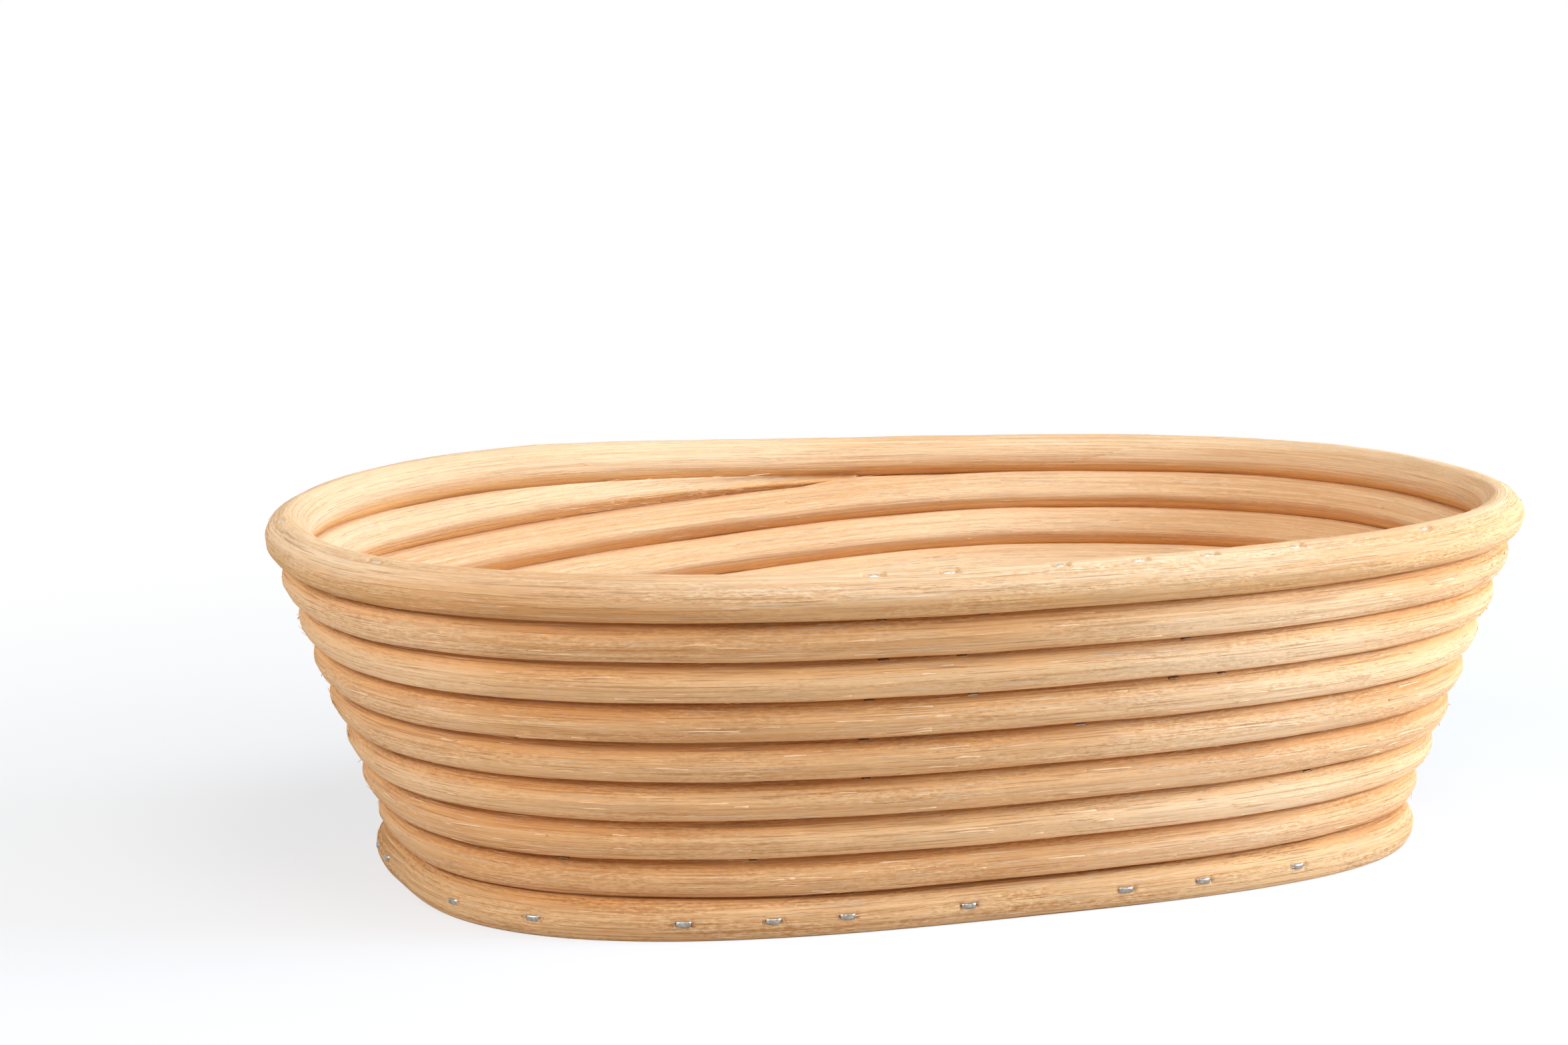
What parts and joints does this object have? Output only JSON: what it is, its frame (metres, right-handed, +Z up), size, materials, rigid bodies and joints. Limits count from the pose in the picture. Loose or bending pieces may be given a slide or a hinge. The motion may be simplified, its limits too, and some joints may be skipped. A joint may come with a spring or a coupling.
{
  "type": "proofing basket",
  "caption": "Oval bread proofing basket: one round cane wound into flaring walls, closed by a stapled rim ring, over a slatted floor in a base ring.",
  "frame": {"origin": "on the table under the middle of the floor", "axes": "+X along the basket's length, +Y across it, +Z up out of the mouth"},
  "size_m": [0.2788, 0.1829, 0.0803],
  "materials": {
    "wall_cane": "raw sanded rattan, matte, with fibres along the cane",
    "rim_cane": "raw sanded rattan, matte, with fibres along the cane",
    "base_cane": "raw sanded rattan, matte, with fibres along the cane",
    "slat_cane": "raw split rattan, matte, with fibres along the slat",
    "staple_wire": "galvanised wire"
  },
  "bodies": {
    "root": {"base_ring": "base_cane", "wall_cane": "wall_cane", "rim_ring": "rim_cane", "floor_slat_01": "slat_cane", "floor_slat_02": "slat_cane", "floor_slat_03": "slat_cane", "floor_slat_04": "slat_cane", "floor_slat_05": "slat_cane", "floor_slat_06": "slat_cane", "floor_slat_07": "slat_cane", "floor_slat_08": "slat_cane", "floor_slat_09": "slat_cane", "floor_slat_10": "slat_cane", "floor_slat_11": "slat_cane", "floor_slat_12": "slat_cane", "floor_slat_13": "slat_cane", "edging_slat_near": "slat_cane", "edging_slat_far": "slat_cane", "base_staple_01": "staple_wire", "base_staple_02": "staple_wire", "base_staple_03": "staple_wire", "base_staple_04": "staple_wire", "base_staple_05": "staple_wire", "base_staple_06": "staple_wire", "base_staple_07": "staple_wire", "base_staple_08": "staple_wire", "base_staple_09": "staple_wire", "base_staple_10": "staple_wire", "base_staple_11": "staple_wire", "base_staple_12": "staple_wire", "base_staple_13": "staple_wire", "base_staple_14": "staple_wire", "base_staple_15": "staple_wire", "base_staple_16": "staple_wire", "base_staple_17": "staple_wire", "base_staple_18": "staple_wire", "base_staple_19": "staple_wire", "base_staple_20": "staple_wire", "base_staple_21": "staple_wire", "rim_staple_01": "staple_wire", "rim_staple_02": "staple_wire", "rim_staple_03": "staple_wire", "rim_staple_04": "staple_wire", "rim_staple_05": "staple_wire", "rim_staple_06": "staple_wire", "rim_staple_07": "staple_wire", "rim_staple_08": "staple_wire", "rim_staple_09": "staple_wire", "rim_staple_10": "staple_wire", "rim_staple_11": "staple_wire", "rim_staple_12": "staple_wire", "rim_staple_13": "staple_wire", "rim_staple_14": "staple_wire", "rim_staple_15": "staple_wire", "rim_staple_16": "staple_wire", "rim_staple_17": "staple_wire", "rim_staple_18": "staple_wire", "rim_staple_19": "staple_wire", "rim_staple_20": "staple_wire"}
  },
  "joints": []
}
